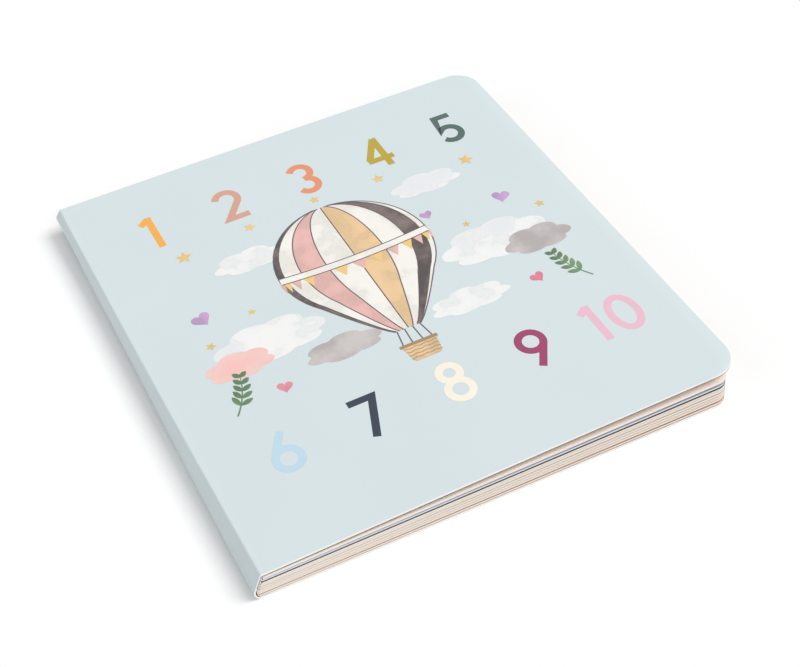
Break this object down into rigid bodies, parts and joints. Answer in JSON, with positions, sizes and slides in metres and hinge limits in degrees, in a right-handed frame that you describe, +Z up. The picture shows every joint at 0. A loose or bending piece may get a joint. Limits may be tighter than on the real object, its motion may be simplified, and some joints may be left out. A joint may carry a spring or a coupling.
{
  "type": "baby board book",
  "caption": "Nearly square board book with thick card leaves and a wrap-round cover, lying flat with its front cover standing slightly ajar.",
  "frame": {"origin": "centre of the footprint, on the surface the back cover lies on", "axes": "+X from the spine to the fore-edge, +Y from the tail to the head of the book, +Z up through the front cover"},
  "size_m": [0.1696, 0.18, 0.0166],
  "materials": {
    "cover_card": "matt laminated print, pale blue",
    "spine_card": "matt laminated print, pale blue",
    "page_board": "laminated white board with cut edges"
  },
  "bodies": {
    "block": {"page_block": "page_board", "spine": "spine_card"},
    "front_cover": {"front_cover": "cover_card"},
    "back_cover": {"back_cover": "cover_card"}
  },
  "joints": [
    {"name": "front_cover_hinge", "type": "hinge", "parent": "block", "child": "front_cover", "pos_m": [-0.08157, 0, 0.01045], "axis": [0, -1, 0], "range_deg": [-0.8, 178]},
    {"name": "back_cover_hinge", "type": "hinge", "parent": "block", "child": "back_cover", "pos_m": [-0.08341, 0, 0.00055], "axis": [0, 1, 0], "range_deg": [0, 180]}
  ]
}
